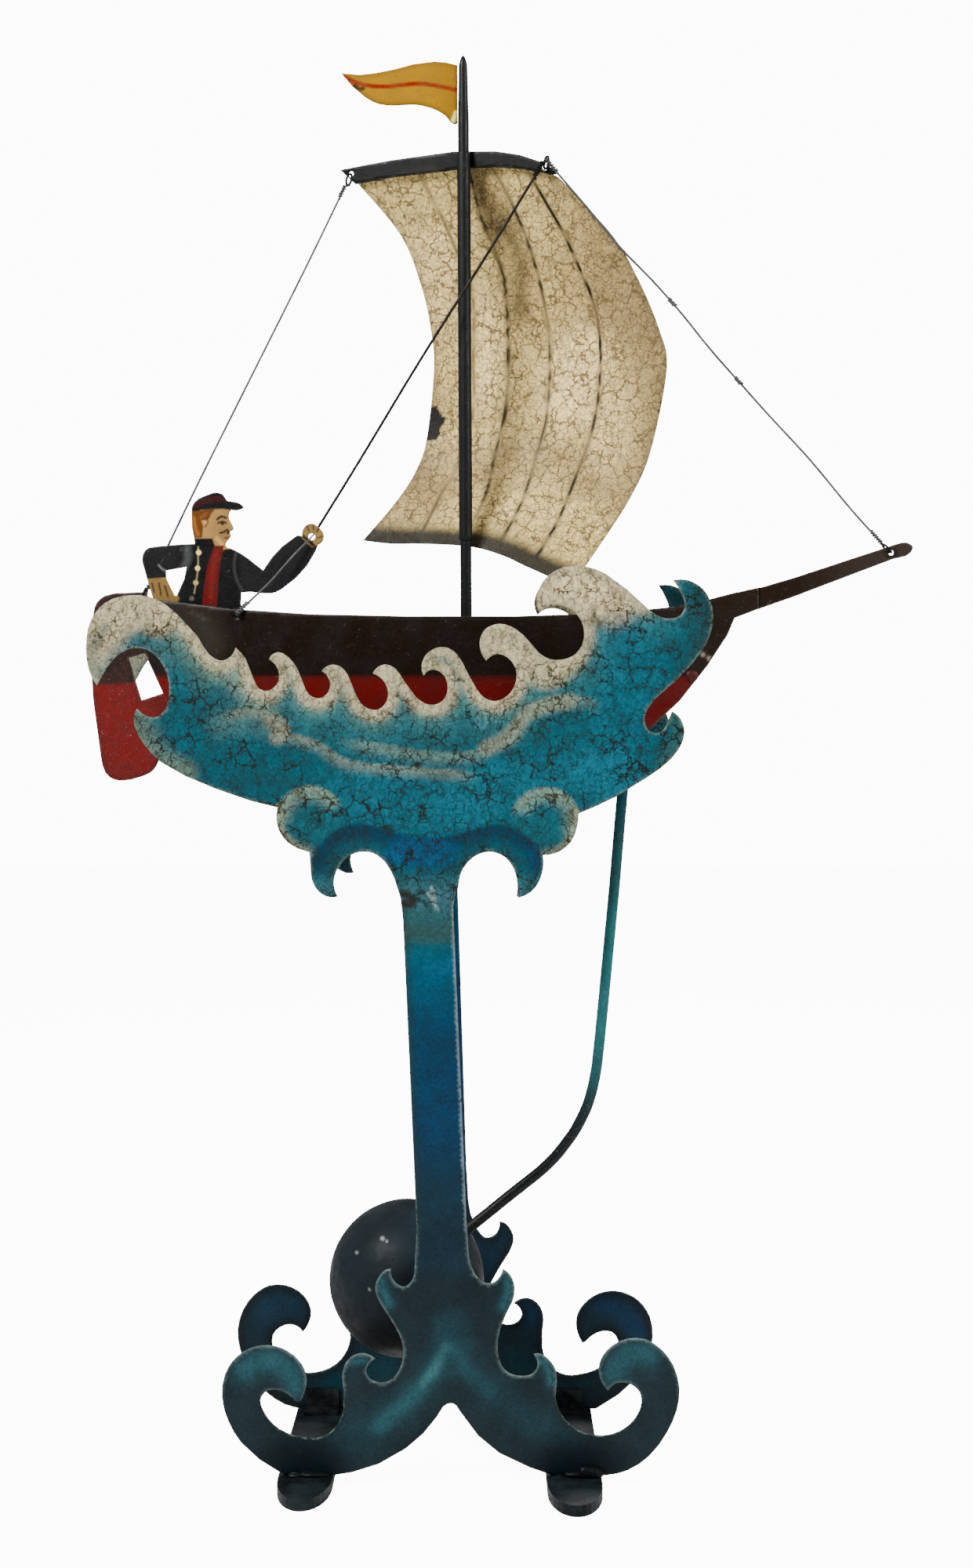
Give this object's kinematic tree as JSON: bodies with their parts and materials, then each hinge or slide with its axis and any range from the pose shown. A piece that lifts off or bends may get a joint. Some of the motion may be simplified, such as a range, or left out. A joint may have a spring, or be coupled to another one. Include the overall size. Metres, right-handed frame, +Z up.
{
  "type": "rocking balance ornament",
  "caption": "Sheet-metal sailing boat with a counterweight ball that rocks between two wave-shaped plates on a stand.",
  "frame": {"origin": "on the floor, under the middle of the whole ornament's bounding box", "axes": "+X toward the bow, +Y across the boat from starboard (near the front plate) to port, +Z up"},
  "size_m": [0.3083, 0.1308, 0.5235],
  "materials": {
    "teal_plate": "satin, crackled",
    "navy_plate": "satin",
    "foot_steel": "bare, worn",
    "brass": "satin",
    "hull_paint": "satin, scratched",
    "red_paint": "satin, worn",
    "rudder_paint": "marbled satin",
    "plain_steel": "satin",
    "black_paint": "satin",
    "sail_paint": "satin, crackled",
    "flag_paint": "satin, worn",
    "sailor_paint": "satin",
    "wire": "dull",
    "ball_iron": "painted, scuffed"
  },
  "bodies": {
    "stand": {"front_plate": "teal_plate", "back_plate": "navy_plate", "left_foot": "foot_steel", "right_foot": "foot_steel", "foot_angles": "foot_steel", "bridge_strap": "foot_steel", "front_saddle": "brass", "back_saddle": "brass"},
    "boat": {"hull_starboard": "hull_paint", "hull_port": "hull_paint", "hull_bottom": "red_paint", "deck": "hull_paint", "rudder": "rudder_paint", "bowsprit": "hull_paint", "hull_rivets": "red_paint", "keel_bracket": "foot_steel", "bracket_rivets": "plain_steel", "pivot_axle": "plain_steel", "axle_collars": "plain_steel", "mast": "black_paint", "mast_step": "foot_steel", "deck_collar": "black_paint", "sail_sleeve": "black_paint", "sail": "sail_paint", "yard": "black_paint", "yard_rings": "wire", "pennant": "flag_paint", "sailor": "sailor_paint", "aft_stay": "wire", "main_sheet": "wire", "fore_stay": "wire", "stern_ring": "wire", "bowsprit_ring": "wire", "counterweight_rod": "black_paint", "rod_bracket": "foot_steel", "rod_nuts": "plain_steel", "counterweight_ball": "ball_iron"}
  },
  "joints": [
    {"name": "boat_rock", "type": "hinge", "parent": "stand", "child": "boat", "pos_m": [-0.0309, 0, 0.25], "axis": [0, 1, 0], "range_deg": [-20, 20]}
  ]
}
